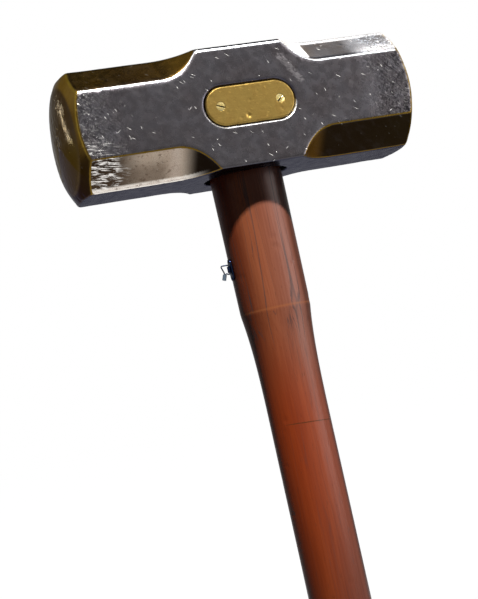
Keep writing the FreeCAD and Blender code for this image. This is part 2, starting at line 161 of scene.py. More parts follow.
def make_lamps():
    """A hard key from the upper front, and softboxes that only show in reflections."""
    make_softbox("key", (0, 0, 0), (0.08, -0.6, 0.785), 1.6, (0.1, 0.1), 1500, reflected_only=False)
    make_softbox("card", (0, 0, 0.02), (0.0, -0.5, 0.866), 1.8, (2.4, 0.85), 2.4)
    make_softbox("top_right", (0.05, -0.02, 0.04), (0.52, 0.3, 0.8), 0.85, (0.4, 0.5), 6)
    make_softbox("back_right", (0.04, 0, 0.04), (0.58, 0.68, 0.42), 0.85, (0.45, 0.4), 1.6)
    make_softbox("side", (0, 0, -0.08), (0.832, -0.548, 0.0), 1.0, (0.6, 1.6), 5.5)
    make_softbox("rim", (-0.066, -0.01, 0.025), (-0.44, 0.86, 0.25), 0.9, (0.006, 0.25), 30,
                 roll=53, colour=(0.75, 0.95, 1.4))


def make_world():
    """White to the camera; in reflections, brightest behind the camera."""
    world = bpy.data.worlds.new("studio")
    bpy.context.scene.world = world
    world.use_nodes = True
    sky = NodeKit(world.node_tree)
    direction = sky.axes(sky.add("TexCoord").outputs["Generated"])
    around = sky.ramp(direction["Y"], -0.5, -0.1, BEHIND_CAMERA, BEYOND)
    above = sky.ramp(direction["Z"], 0.3, 0.75, 1.0, OVERHEAD)
    direct, reflected = sky.rays()
    reflected = sky.times(reflected, sky.combine("MINIMUM", around, above))
    background = sky.nodes["Background"]
    sky.put(background.inputs["Strength"], sky.strongest(direct, reflected, AMBIENT))
    background.inputs["Color"].default_value = (1, 1, 1, 1)


def floor_paint():
    """Glows to the camera and in reflections, and takes the lamps' shadows."""
    material = new_material("floor")
    paint = NodeKit(material.node_tree)
    paint.nodes.remove(paint.nodes["Principled BSDF"])
    away = paint.add("VectorMath")
    away.operation = "LENGTH"
    paint.put(away.inputs[0], paint.add("TexCoord").outputs["Object"])
    direct, reflected = paint.rays()
    direct = paint.times(direct, paint.ramp(away.outputs["Value"], 0.15, 0.6, FLOOR_GLOW, 1.0))
    reflected = paint.times(reflected, paint.ramp(away.outputs["Value"], 0.25, 0.6, 1.0, FLOOR_SHEEN))
    glow = paint.add("Emission")
    paint.put(glow.inputs["Strength"], paint.strongest(direct, reflected))
    matt = paint.add("BsdfDiffuse")
    paint.put(matt.inputs["Color"], (0.05, 0.05, 0.05))
    both = paint.add("AddShader")
    paint.put(both.inputs[0], matt.outputs[0])
    paint.put(both.inputs[1], glow.outputs[0])
    paint.put(paint.nodes["Material Output"].inputs["Surface"], both.outputs[0])
    return material


def make_floor():
    """Pale floor under the butt."""
    bm = bmesh.new()
    bmesh.ops.create_grid(bm, x_segments=1, y_segments=1, size=FLOOR_HALF_SIZE)
    mesh = mesh_from(bm, "floor")
    mesh.materials.append(floor_paint())
    floor = new_object("floor", mesh)
    floor.location = (0, 0, FLOOR)


# ---- node helpers ----------------------------------------
class NodeKit:
    """A node tree, with short forms for what the world, the floor and the finishes share."""

    def __init__(self, tree):
        self.nodes, self.links = tree.nodes, tree.links

    def add(self, kind):
        return self.nodes.new("ShaderNode" + kind)

    def put(self, socket, value):
        """Links a socket to another, or sets its value."""
        if isinstance(value, bpy.types.NodeSocket):
            self.links.new(value, socket)
        elif isinstance(value, (tuple, list)) and len(value) == 3 and socket.type == "RGBA":
            socket.default_value = (*value, 1)
        else:
            socket.default_value = value

    def axes(self, vector):
        split = self.add("SeparateXYZ")
        self.put(split.inputs[0], vector)
        return split.outputs

    def rays(self):
        """Masks of the rays that see a thing directly or through glass, and of reflected ones."""
        path = self.add("LightPath")
        direct = self.strongest(path.outputs["Is Camera Ray"], path.outputs["Is Transmission Ray"])
        return direct, path.outputs["Is Glossy Ray"]

    def ramp(self, value, low, high, to_low=0.0, to_high=1.0):
        """Eases from one level to the other as the value goes from low to high."""
        node = self.add("MapRange")
        node.interpolation_type = "SMOOTHSTEP"
        for name, given in (("Value", value), ("From Min", low), ("From Max", high),
                            ("To Min", to_low), ("To Max", to_high)):
            self.put(node.inputs[name], given)
        return node.outputs["Result"]

    def combine(self, operation, first, second):
        node = self.add("Math")
        node.operation = operation
        self.put(node.inputs[0], first)
        self.put(node.inputs[1], second)
        return node.outputs[0]

    def plus(self, first, second):
        return self.combine("ADD", first, second)

    def times(self, first, *others):
        for other in others:
            first = self.combine("MULTIPLY", first, other)
        return first

    def strongest(self, first, *others):
        for other in others:
            first = self.combine("MAXIMUM", first, other)
        return first


class Finish(NodeKit):
    """A material's node tree; patterns have their sizes in mm and stay fixed to the object."""

    def __init__(self, name):
        self.material = new_material(name)
        super().__init__(self.material.node_tree)
        self.shader = self.nodes["Principled BSDF"]
        self.place = self.add("TexCoord").outputs["Object"]

    def set(self, **values):
        """Sets the shader's sockets; an underscore in a name stands for a space."""
        for name, value in values.items():
            self.put(self.shader.inputs[name.replace("_", " ")], value)

    def attribute(self, name, output="Fac"):
        node = self.add("Attribute")
        node.attribute_name = name
        return node.outputs[output]

    def mapped(self, sizes, turn, shift=(0, 0, 0)):
        """The place, measured in cells of those sizes along axes turned by those degrees."""
        node = self.add("Mapping")
        node.vector_type = "TEXTURE"
        self.put(node.inputs["Vector"], self.place)
        node.inputs["Location"].default_value = [part * MM for part in shift]
        node.inputs["Rotation"].default_value = [math.radians(angle) for angle in turn]
        if isinstance(sizes, (int, float)):
            sizes = (sizes, sizes, sizes)
        node.inputs["Scale"].default_value = [size * MM for size in sizes]
        return node.outputs[0]

    def noise(self, sizes, turn=(0, 0, 0), detail=2.0, rough=0.5, warp=0.0):
        """Noise with spots of about the given sizes along its turned axes, 0 to 1."""
        node = self.add("TexNoise")
        self.put(node.inputs["Vector"], self.mapped(sizes, turn))
        node.inputs["Scale"].default_value = 1
        node.inputs["Detail"].default_value = detail
        node.inputs["Roughness"].default_value = rough
        node.inputs["Distortion"].default_value = warp
        return node.outputs["Fac"]

    def specks(self, sizes, turn, reach, share, shift=(0, 0, 0)):
        """Scattered marks: a given share of the cells of those sizes holds one, of that reach."""
        node = self.add("TexVoronoi")
        self.put(node.inputs["Vector"], self.mapped(sizes, turn, shift))
        node.inputs["Scale"].default_value = 1
        chance = self.add("SeparateColor")
        self.put(chance.inputs[0], node.outputs["Color"])
        radius = self.ramp(chance.outputs[1], 0.0, 1.0, 0.45 * reach, 1.25 * reach)
        mark = self.ramp(node.outputs["Distance"], self.times(radius, 0.6), radius, 1.0, 0.0)
        return self.times(mark, self.ramp(chance.outputs[0], share, share + 0.02, 1.0, 0.0))

    def mix(self, factor, first, second, blend="MIX"):
        node = self.add("Mix")
        node.data_type = "RGBA"
        node.blend_type = blend
        self.put(node.inputs["Factor"], factor)
        self.put(node.inputs[6], first)
        self.put(node.inputs[7], second)
        return node.outputs[2]

    def darken(self, factor, colour, tint):
        return self.mix(factor, colour, tint, "MULTIPLY")

    def bump(self, height, depth):
        """Normal from a height in mm times depth."""
        node = self.add("Bump")
        self.put(node.inputs["Height"], height)
        node.inputs["Distance"].default_value = depth * MM
        return node.outputs[0]


# ---- finishes --------------------------------------------
SMEAR_TURN = (0, 38, 0)         # most knocks and smears on the head lie along this slant
# Each nick is drawn as a painted highlight beside a painted shadow.
NICKS = (                       # size of the cells that hold them, turn, reach in a cell, share of cells
    ((10, 4, 1.1), SMEAR_TURN, 0.12, 0.2),
    ((7, 3.5, 1.0), (0, 28, 0), 0.12, 0.24),
    ((8, 3.5, 1.0), (0, -36, 8), 0.12, 0.16),
    ((5, 3, 1.0), (0, 66, 0), 0.12, 0.16),
    ((2.6, 2.6, 2.6), (0, 0, 0), 0.08, 0.14),
)
NICK_SHADOW = (-0.1, 0, 0.32)   # how far each nick's painted shadow, on its upper side, lies from its painted highlight
SIDE_SHADES = (                 # painted shade on the handle's sides: start and end in x, share on the grip, colour
    (7.5 * MM, 10 * MM, 0.9, (0.34, 0.24, 0.18)),
    (-7.5 * MM, -12.5 * MM, 0.4, (0.6, 0.34, 0.25)),
)
VEINS = (                       # sizes, turn, threshold of the patches that hold them
    ((3.6, 3.6, 150), (1.6, 0.8, 0), 0.44),
    ((2.4, 2.4, 110), (-1.2, -1.0, 0), 0.5),
)
SCORE_DROP = 93.9 * MM          # scored line round the front of the grip, and how it climbs
SCORE_TILT = 0.07
SCORE_HALF_WIDTH = 0.26 * MM


def steel_ground(steel, bare):
    """Patina and painted light, reflections and shade from the head's tones, with clouds, grain, smudges,
    pits and the scuffed patch.
    """
    colour = steel.attribute("patina_and_painted_light", "Color")
    cloud = steel.noise(8, detail=4, rough=0.6)
    colour = steel.darken(steel.ramp(cloud, 0.3, 0.7, 0.0, 0.5), colour, (0.78, 0.68, 0.62))
    grain = steel.noise(0.5, detail=2, rough=0.6)
    colour = steel.darken(steel.ramp(grain, 0.25, 0.75, 0.3, 0.0), colour, (0.5, 0.46, 0.46))
    smudge = steel.noise((9, 5, 2.5), SMEAR_TURN, detail=4, rough=0.65)
    smudge = steel.times(steel.ramp(smudge, 0.5, 0.75, 0.0, 0.3), bare)
    colour = steel.mix(smudge, colour, (0.16, 0.15, 0.155))
    scuff = steel.plus(steel.attribute("scuff"), steel.noise((1.6, 1.2, 0.8), SMEAR_TURN, detail=3))
    colour = steel.mix(steel.ramp(scuff, 1.0, 1.2, 0.0, 0.75), colour, (0.26, 0.24, 0.245))
    pits = steel.ramp(steel.noise(1.3, detail=5, rough=0.7), 0.54, 0.64)
    pits = steel.times(steel.attribute("pitted"), pits, 0.6)
    return steel.mix(pits, colour, (0.07, 0.042, 0.026))


def steel_nicks(steel, bare):
    """Small dents drawn as colour: a painted highlight on the lower lip beside a painted shadow on the
    upper side.
    """
    nick_highlights = [steel.specks(*nick) for nick in NICKS]
    shadows = [steel.specks(sizes, turn, 1.2 * reach, share, NICK_SHADOW)
               for sizes, turn, reach, share in NICKS]
    kept = steel.times(steel.ramp(steel.noise(6, detail=1.0), 0.36, 0.5), bare)
    return steel.times(steel.strongest(*nick_highlights), kept), steel.times(steel.strongest(*shadows), kept)


def steel_scratches(steel):
    """Fine bright scratches and grit, and the dark cuts and scribbles near the faces."""
    hatched = steel.attribute("hatched")
    fine = steel.ramp(steel.noise((1.5, 0.8, 0.32), (0, 35, 0), detail=1), 0.62, 0.7)
    grit = steel.ramp(steel.noise((0.9, 0.6, 0.5), (0, 30, 0), detail=2), 0.56, 0.66, 0.0, 0.2)
    bright = steel.strongest(steel.times(fine, hatched, 0.12), steel.times(grit, steel.attribute("gritty")))
    cuts = steel.ramp(steel.noise((3.0, 0.9, 0.32), (0, 50, 0), detail=1), 0.51, 0.58)
    crossing = steel.ramp(steel.noise((2.8, 0.9, 0.32), (0, -62, 0), detail=1), 0.53, 0.6)
    cuts = steel.times(steel.strongest(cuts, crossing), hatched)
    scribble = steel.ramp(steel.noise((1.5, 1.1, 0.75), (0, 35, 0), detail=2, warp=1.0), 0.47, 0.53)
    return bright, steel.strongest(cuts, steel.times(scribble, steel.attribute("scribbled")))


def steel_streaks(steel):
    """Close bright streaks where the head meets the work, in ragged patches: partly hammered bare steel and
    partly painted highlight.
    """
    hammered = steel.attribute("hammered")
    streaks = steel.noise((4.0, 1.2, 0.42), (0, 8, 0), detail=4, rough=0.7, warp=0.2)
    streaks = steel.ramp(streaks, 0.5, 0.6)
    patchy = steel.times(steel.noise((6, 2.0, 1.6), (0, 5, 0), detail=4, rough=0.6), 1.8)
    meets = steel.ramp(steel.plus(hammered, patchy), 1.3, 1.8)
    return steel.times(streaks, meets, steel.ramp(hammered, 0.5, 0.9, 0.4, 1.0))


def forged_steel():
    """Dark worn steel; the head's own colours, wear and painted light come from its attributes, and its
    nicks carry painted highlights and shadows.
    """
    steel = Finish("forged_steel")
    bare = steel.attribute("bare")
    colour = steel_ground(steel, bare)
    nick_highlights, shadows = steel_nicks(steel, bare)
    bright, cuts = steel_scratches(steel)
    streaks = steel_streaks(steel)
    # Painted shadow of the nicks, together with the dark cuts and scribbles.
    shade = steel.strongest(shadows, cuts)
    colour = steel.mix(steel.times(shade, 0.8), colour, (0.008, 0.007, 0.009))
    # Painted highlight on the nicks and partly on the streaks, together with the bright scratches and grit.
    colour = steel.mix(steel.strongest(nick_highlights, bright, streaks), colour, (0.86, 0.83, 0.79))
    ragged = steel.times(steel.noise(1.6, detail=2, rough=0.4), 0.35)
    # Edges: gold where worn, and white or cream where a painted highlight runs along them.
    edge = steel.ramp(steel.plus(steel.attribute("wear"), ragged), 0.7, 0.9)
    colour = steel.mix(edge, colour, steel.attribute("edge_wear_and_highlight_tint", "Color"))
    height = steel.times(steel.noise(1.1, detail=4, rough=0.6), 0.6)
    height = steel.plus(steel.plus(height, steel.times(shade, -1.5)), steel.times(streaks, 0.6))
    rough = steel.ramp(steel.noise(3.0, detail=3), 0.25, 0.75, 0.22, 0.32)
    rough = steel.combine("SUBTRACT", rough, steel.times(steel.attribute("polish"), 0.18))
    steel.set(Base_Color=colour, Metallic=1.0, Roughness=rough,
              Specular_Tint=steel.attribute("sheen", "Color"), Normal=steel.bump(height, 0.04))
    return steel.material


def wood_ground(wood, x, height, figure, near_head):
    """Paler and drier near the head, redder on the grip, with a painted sheen toward the right-hand side,
    painted shade at the sides, and darker lower down.
    """
    tone = wood.ramp(figure, 0.3, 0.7)
    grip = wood.mix(tone, (0.25, 0.036, 0.007), (0.33, 0.054, 0.011))
    colour = wood.mix(near_head, grip, wood.mix(tone, (0.26, 0.072, 0.028), (0.31, 0.09, 0.037)))
    # Painted sheen: a paler pink toward the handle's right-hand side (+X), fading at its edge, strongest
    # near the head.
    painted_sheen = wood.times(wood.ramp(x, -9 * MM, 8 * MM), wood.ramp(near_head, 0.0, 1.0, 0.5, 1.0),
                       wood.ramp(x, 7.5 * MM, 10.5 * MM, 1.0, 0.25), 0.9)
    colour = wood.mix(painted_sheen, colour, (0.28, 0.118, 0.085))
    # Painted shade darkening both sides of the handle.
    for start, end, on_grip, side_shade in SIDE_SHADES:
        shaded_side = wood.times(wood.ramp(x, start, end), wood.ramp(near_head, 0.0, 1.0, on_grip, 0.8))
        colour = wood.darken(shaded_side, colour, side_shade)
    low = wood.ramp(height, -175 * MM, -100 * MM, 0.9, 0.0)
    return wood.darken(low, colour, (0.62, 0.72, 0.8))


def wood_veins(wood, height):
    """Masks of the long dark grain lines, fainter below the crisp edge."""
    for sizes, turn, threshold in VEINS:
        veins = wood.noise(sizes, turn, detail=1.5, rough=0.4)
        patches = wood.ramp(wood.noise((6, 6, 70), turn), threshold - 0.08, threshold)
        yield wood.times(wood.ramp(veins, 0.483, 0.5), wood.ramp(veins, 0.517, 0.5), patches,
                         wood.ramp(height, -68 * MM, -58 * MM, 0.2, 0.75))


def score_line(wood, x, y, height):
    level = wood.plus(wood.plus(height, wood.times(x, SCORE_TILT)), SCORE_DROP)
    line = wood.times(wood.ramp(level, -SCORE_HALF_WIDTH, 0.0), wood.ramp(level, SCORE_HALF_WIDTH, 0.0))
    in_front = wood.times(wood.ramp(x, -9.5 * MM, -6 * MM), wood.ramp(y, 0.5 * MM, -0.5 * MM))
    return wood.times(line, in_front, wood.ramp(wood.noise(1.6, detail=1), 0.2, 0.5, 0.35, 1.0))


def lacquered_wood():
    """Red-brown wood under a thin lacquer: broad figure, long veins, fine grain and pores."""
    wood = Finish("lacquered_wood")
    x, y, height = wood.axes(wood.place)
    near_head = wood.ramp(height, -95 * MM, -46 * MM)
    figure = wood.noise((5.5, 5.5, 75), detail=3, rough=0.55, warp=0.25)
    colour = wood_ground(wood, x, height, figure, near_head)
    fine = wood.noise((0.7, 0.7, 26), detail=3, rough=0.6)
    colour = wood.darken(wood.ramp(fine, 0.35, 0.7, 0.0, 0.4), colour, (0.70, 0.56, 0.52))
    for line in wood_veins(wood, height):
        colour = wood.mix(line, colour, (0.07, 0.045, 0.042))
    pores = wood.ramp(wood.noise((0.28, 0.28, 3.6), detail=1), 0.68, 0.76)
    colour = wood.mix(wood.times(pores, 0.4), colour, (0.07, 0.028, 0.018))
    colour = wood.mix(score_line(wood, x, y, height), colour, (0.07, 0.028, 0.01))
    colour = wood.mix(wood.times(wood.attribute("rubbed"), 0.4), colour, (0.46, 0.15, 0.05))
    relief = wood.plus(wood.times(fine, 0.5), wood.times(pores, -0.5))
    wood.set(Base_Color=colour, Roughness=wood.ramp(figure, 0.3, 0.7, 0.2, 0.28),
             Specular_IOR_Level=0.08, Normal=wood.bump(relief, 0.02))
    return wood.material


def wedge_wood():
    """Pale end grain of the wooden wedge, oiled and a little dirty."""
    wood = Finish("wedge_wood")
    rings = wood.noise((0.5, 3.5, 30), detail=3, rough=0.6)
    colour = wood.mix(wood.ramp(rings, 0.3, 0.7), (0.18, 0.085, 0.035), (0.36, 0.21, 0.1))
    pores = wood.specks(0.42, (0, 0, 0), 0.3, 0.9)
    colour = wood.mix(pores, colour, (0.07, 0.035, 0.018))
    relief = wood.combine("SUBTRACT", rings, pores)
    wood.set(Base_Color=colour, Roughness=0.6, Normal=wood.bump(relief, 0.06))
    return wood.material


# Dark of the dirt specks, and of the painted shade down in the screw slots.
METAL_GRIME_AND_SHADE = (0.02, 0.014, 0.008)


def brushed_metal(name, light, dark, brush, rough, sheen=(1, 1, 1)):
    """Plain metal with brush lines, tarnish clouds, dirt specks and small scratches, and painted shade
    where a part stores it, as in the screw slots.
    """
    metal = Finish(name)
    cloud = metal.noise(3.2, detail=4, rough=0.6)
    colour = metal.mix(metal.ramp(cloud, 0.3, 0.7), dark, light)
    lines = metal.noise(brush, detail=2, rough=0.6)
    colour = metal.darken(metal.ramp(lines, 0.35, 0.65, 0.3, 0.0), colour, (0.6, 0.55, 0.5))
    specks = metal.ramp(metal.noise(0.42, detail=2), 0.68, 0.76)
    colour = metal.mix(metal.times(specks, 0.75), colour, METAL_GRIME_AND_SHADE)
    glints = metal.ramp(metal.noise((1.6, 0.4, 0.22), (0, 35, 0), detail=0), 0.72, 0.77)
    colour = metal.mix(metal.times(glints, 0.6), colour, tuple(min(1, 1.9 * part) for part in light))
    # Painted shade down in the screw slots, where a part stores it.
    colour = metal.mix(metal.attribute("slot_shade"), colour, METAL_GRIME_AND_SHADE)
    height = metal.plus(metal.times(lines, 0.5), metal.times(specks, -0.6))
    spread = metal.ramp(cloud, 0.3, 0.7, rough + 0.06, rough - 0.05)
    metal.set(Base_Color=colour, Metallic=1.0, Roughness=spread, Specular_Tint=sheen,
              Normal=metal.bump(height, 0.03))
    return metal.material


def plate_brass():
    return brushed_metal("plate_brass", (0.295, 0.197, 0.053), (0.19, 0.12, 0.031), (5, 1, 0.22), 0.36)


def screw_brass():
    return brushed_metal("screw_brass", (0.85, 0.7, 0.32), (0.7, 0.52, 0.17), (1.5, 1, 0.12), 0.22)


def keeper_steel():
    return brushed_metal("keeper_steel", (0.014, 0.024, 0.062), (0.008, 0.012, 0.03), (2, 1, 0.2), 0.3)


def wire_steel():
    return brushed_metal("wire_steel", (0.035, 0.05, 0.085), (0.015, 0.022, 0.04), (1, 1, 0.15), 0.42,
                         sheen=(0.25, 0.28, 0.35))


def sleeve_alloy():
    return brushed_metal("sleeve_alloy", (0.24, 0.31, 0.38), (0.11, 0.15, 0.2), (1, 1, 0.2), 0.34)


def wedge_steel():
    return brushed_metal("wedge_steel", (0.2, 0.19, 0.18), (0.07, 0.065, 0.06), (1, 4, 0.3), 0.42)


# ---- mesh helpers ----------------------------------------
WELD = 1e-6
FLAT_ANGLE = math.radians(0.3)
HASH_STEPS = (73856093, 19349663, 83492791)
SEED_STEP = 2654435


def clean_copy(node):
    """The CAD node's mesh with its doubled vertices joined and its flat faces whole."""
    bm = bmesh.new()
    bm.from_mesh(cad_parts[node].data)
    bmesh.ops.remove_doubles(bm, verts=bm.verts, dist=WELD)
    bmesh.ops.dissolve_limit(bm, angle_limit=FLAT_ANGLE, verts=bm.verts, edges=bm.edges)
    return bm


def cut_to_cells(bm, cell):
    """Cuts the faces along planes one cell apart, the long way first."""
    spots = np.array([vert.co for vert in bm.verts])
    low, high = spots.min(axis=0), spots.max(axis=0)
    for axis in range(3):
        normal = Vector((axis == 0, axis == 1, axis == 2))
        count = max(1, round((high[axis] - low[axis]) / cell))
        for step in range(1, count):
            place = low[axis] + (high[axis] - low[axis]) * step / count
            bmesh.ops.bisect_plane(bm, geom=bm.verts[:] + bm.edges[:] + bm.faces[:], dist=WELD,
                                   plane_co=normal * place, plane_no=normal)


def make_piece(name, bm, material, body="hammer", crisp=40.0):
    """Object from a bmesh, smooth but for edges sharper than crisp degrees."""
    mesh = mesh_from(bm, name)
    mesh.shade_smooth()
    mesh.set_sharp_from_angle(angle=math.radians(crisp))
    mesh.materials.clear()
    mesh.materials.append(material)
    piece = new_object(name, mesh)
    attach(piece, body)
    return piece


def points_of(mesh):
    flat = np.empty(len(mesh.vertices) * 3)
    mesh.vertices.foreach_get("co", flat)
    return flat.reshape(-1, 3)


def move_points(mesh, points):
    mesh.vertices.foreach_set("co", points.ravel())
    mesh.update()


def store(mesh, name, values):
    """Keeps a number or a colour for each vertex."""
    if values.ndim == 1:
        mesh.attributes.new(name, "FLOAT", "POINT").data.foreach_set("value", values)
    else:
        colours = np.concatenate([values, np.ones((len(values), 1))], axis=1)
        mesh.attributes.new(name, "FLOAT_COLOR", "POINT").data.foreach_set("color", colours.ravel())


def smooth_step(value, low, high):
    part = np.clip((value - low) / (high - low), 0, 1)
    return part * part * (3 - 2 * part)


def value_noise(points, size, seed):
    """Smooth field from -1 to 1 that changes over about the given size."""
    spots = points / size
    cell = np.floor(spots).astype(np.int64)
    part = spots - cell
    part = part * part * (3 - 2 * part)
    total = np.zeros(len(points))
    for corner in np.ndindex(2, 2, 2):
        at = cell + corner
        mixed = np.bitwise_xor.reduce(at * HASH_STEPS, axis=1) ^ (seed * SEED_STEP)
        mixed = (mixed ^ (mixed >> 13)) * 1274126177 & 0x7FFFFFFF
        mixed = (mixed ^ (mixed >> 15)) * 951274213 & 0x7FFFFFFF
        weight = np.prod(np.where(corner, part, 1 - part), axis=1)
        total += weight * (mixed / 0x3FFFFFFF - 1)
    return total


def ripple(points, depth, size, seed):
    """Soft hollows of up to twice that depth, over about that size."""
    return depth * (1 + value_noise(points, size, seed))


def press_marks(points, places, radii, depths):
    """How deep round marks press in at each point."""
    pressed = np.zeros(len(points))
    for place, radius, depth in zip(places, radii, depths):
        apart = np.abs(points - place)
        near = np.flatnonzero(apart.max(axis=1) < radius)
        reach = np.linalg.norm(apart[near], axis=1) / radius
        pressed[near] = np.maximum(pressed[near], depth * (1 - smooth_step(reach, 0.2, 1.0)))
    return pressed


# ---- head ------------------------------------------------
SCUFF_START = np.array((14.8, 15.5)) * MM   # worn patch on the cheek, from the head's middle
SCUFF_RUN = np.array((6.3, -9.2)) * MM
SKIN_STEP = 0.02 * MM
SETTLINGS = 3
HEAD_DENTS = 420
MASK_BLUR = 0.25 * MM
WORN_REACH = 0.6 * MM           # how far wear spreads from an edge

# Corner flat colours are partly tarnish and partly painted reflection: the lower-left's pale middle, the
# lower-right's near black and the upper-right's white run-out and pale end stand in for reflections.
FLAT_PATINA_AND_REFLECTION_TONES = {      # (side, level): colours at the run-out, in the middle and near the face, and
                    # the stretch in mm from the run-out's start over which the first one fades
    ("left", "up"): ((0.24, 0.14, 0.026), (0.038, 0.026, 0.015), (0.051, 0.034, 0.014), (-10, 1)),
    ("left", "down"): ((0.008, 0.005, 0.003), (0.40, 0.33, 0.26), (0.024, 0.016, 0.010), (-8.0, -0.5)),
    ("right", "down"): ((0.16, 0.085, 0.025), (0.013, 0.008, 0.004), (0.014, 0.009, 0.004), (-13, -3)),
    ("right", "up"): ((0.95, 0.95, 0.95), (0.038, 0.040, 0.046), (0.26, 0.28, 0.31), (-5.2, -3.8)),
}
CHEEK_TONE = (0.094, 0.089, 0.097)
# Painted reflection: the underside's darker, bluer tone.
UNDER_REFLECTION_TONE = (0.050, 0.053, 0.075)
EYE_TONE = (0.045, 0.043, 0.045)
# Bevels: a bronze tone, with painted light above, a painted highlight on the rim and painted shade below.
BEVEL_TONE = (0.24, 0.145, 0.03)
BEVEL_LIT_TONE = (0.405, 0.257, 0.0607)
BEVEL_RIM_HIGHLIGHT_TONE = (0.55, 0.38, 0.055)
BEVEL_SHADED_TONE = (0.04, 0.022, 0.007)
CROWN_TONE = (0.14, 0.1, 0.062)
CROWN_LOW_TONE = (0.163, 0.108, 0.0374)
PAINTED_DARK_EDGE_TONE = (0.012, 0.013, 0.018)  # painted shade on the top's side of the plateau's edge
# Painted highlight on the lower-left flat's crest, and a darker band in its painted reflection.
CREST_HIGHLIGHT_TONE = (0.45, 0.38, 0.32)
DARKER_REFLECTION_TONE = (0.07, 0.045, 0.028)
RIM_SHADE = (0.07, 0.07, 0.10)
GOLD = np.array((0.13, 0.078, 0.011))
# Painted highlights: cream on the lower-left flat's lower lip and edge, white on the upper edges, the
# pocket's lower lip and the upper-right flat.
CREAM_HIGHLIGHT = (0.93, 0.88, 0.80)
PAINTED_HIGHLIGHT = np.array((0.85, 0.87, 0.9))
SHEEN = np.array((0.5, 0.47, 0.43))  # colour at grazing angles
END_SHEEN = np.array((0.5, 0.46, 0.41))  # on bevels and crowns
UNDER_SHEEN = np.array((0.5, 0.5, 0.57))  # on the underside, bluer, adding to its painted reflection


def smooth_max(first, second, blend):
    overlap = np.maximum(blend - np.abs(first - second), 0) / blend
    return np.maximum(first, second) + overlap ** 2 * blend / 4


def head_forms(points):
    """How far each point lies beyond the cheeks, top and underside, corner flats, bevels, crowns."""
    x, y, z = np.abs(points - HEAD_MIDDLE).T
    cheek = y - HALF_DEPTH
    top = z - HALF_HEIGHT
    run = np.clip(CORNER_START - x, 0, 0.98 * RUNOUT_RADIUS)
    lift = RUNOUT_RADIUS - np.sqrt(RUNOUT_RADIUS ** 2 - run ** 2)
    corner = (y + z - HALF_DEPTH - HALF_HEIGHT + CORNER_LEG) / math.sqrt(2) - lift
    across = np.hypot(y, z)
    crown_centre = HALF_LENGTH - CROWN_RADIUS
    rim = crown_centre + math.sqrt(CROWN_RADIUS ** 2 - FACE_RADIUS ** 2)
    bevel = (x - rim) * math.cos(BEVEL_ANGLE) + (across - FACE_RADIUS) * math.sin(BEVEL_ANGLE)
    crown = np.hypot(x - crown_centre, across) - CROWN_RADIUS
    return cheek, top, corner, bevel, crown


def off_edge(forms):
    """How far the outermost form lies above the next one: little beside the head's edges."""
    ranked = np.sort(np.array(forms), axis=0)
    return ranked[-1] - ranked[-2]


def past_pocket(points):
    """Distance outside the plate's pocket, over the front cheek; far outside it at the back."""
    x, y, z = (points - HEAD_MIDDLE).T
    beyond = np.maximum(np.abs(x) - (PLATE_HALF_LENGTH - PLATE_RADIUS), 0)
    outside = np.hypot(beyond, z) - PLATE_RADIUS - POCKET_FIT
    return np.where(y < 0, outside, HALF_LENGTH)


def head_skin(points):
    """Height over the head's outside, with its edges blended."""
    cheek, top, corner, bevel, crown = head_forms(points)
    above = smooth_step(points[:, 2] - HEAD_MIDDLE[2], -2 * MM, 2 * MM)
    blend = LOWER_ROUND + (UPPER_ROUND - LOWER_ROUND) * above
    plateau = LOWER_ROUND + (PLATEAU_ROUND - LOWER_ROUND) * above
    sides = smooth_max(smooth_max(cheek, top, plateau), corner, blend)
    ends = smooth_max(bevel, crown, FACE_ROUND)
    return smooth_max(smooth_max(sides, ends, LOWER_ROUND), -past_pocket(points), UPPER_ROUND)


def skin_slope(points):
    columns = []
    for axis in range(3):
        shift = np.zeros(3)
        shift[axis] = SKIN_STEP
        rise = head_skin(points + shift) - head_skin(points - shift)
        columns.append(rise / (2 * SKIN_STEP))
    return np.stack(columns, axis=1)


def head_outside(points):
    """The points on the head's outer surface and beside its edges, not in the eye or the holes."""
    forms = head_forms(points)
    over = np.abs(np.max(forms, axis=0))
    to_pocket = past_pocket(points)
    by_rim = (over < 0.9 * MM) * (np.abs(to_pocket) < 0.9 * MM)
    by_edge = (over < 0.8 * MM) * (off_edge(forms) < 1.6 * MM)
    on_skin = (over < 0.12 * MM) * (to_pocket > -POCKET_FIT)
    return np.flatnonzero(by_rim + by_edge + on_skin)


def settle(skin):
    """The points moved onto the rounded skin, and its normals there."""
    for _ in range(SETTLINGS):
        slope = skin_slope(skin)
        skin = skin - slope * (head_skin(skin) / (slope ** 2).sum(axis=1))[:, None]
    normals = skin_slope(skin)
    return skin, normals / np.linalg.norm(normals, axis=1)[:, None]


def head_wear(skin):
    """How deep forging marks, hammering, chipped edges and dents press into the skin."""
    along = np.abs(skin[:, 0])
    near_face = smooth_step(along, HALF_LENGTH - 22 * MM, HALF_LENGTH - 9 * MM)
    depth = ripple(skin, 0.05 * MM, 13 * MM, 1) + ripple(skin, 0.02 * MM, 4 * MM, 2)
    ridges = np.abs(value_noise(skin * (0.35, 1, 1), 1.5 * MM, 3))
    depth += near_face * 0.16 * MM * ridges * smooth_step(value_noise(skin, 6 * MM, 4), -0.5, 0.6)
    chips = smooth_step(value_noise(skin, 2.4 * MM, 5), 0.15, 0.8)
    depth += 0.05 * MM * (chips * smooth_step(-off_edge(head_forms(skin)), -1.2 * MM, 0))
    odds = 0.35 + 2.2 * near_face
    picks = RANDOM.choice(len(skin), HEAD_DENTS, p=odds / odds.sum())
    radii = RANDOM.uniform(0.5, 1.6, HEAD_DENTS) * MM
    depths = RANDOM.uniform(0.04, 0.16, HEAD_DENTS) * MM
    calm = 1 - 0.8 * smooth_step(along, HALF_LENGTH - 3.5 * MM, HALF_LENGTH - 2 * MM)
    return depth + calm * press_marks(skin, skin[picks], radii, depths)


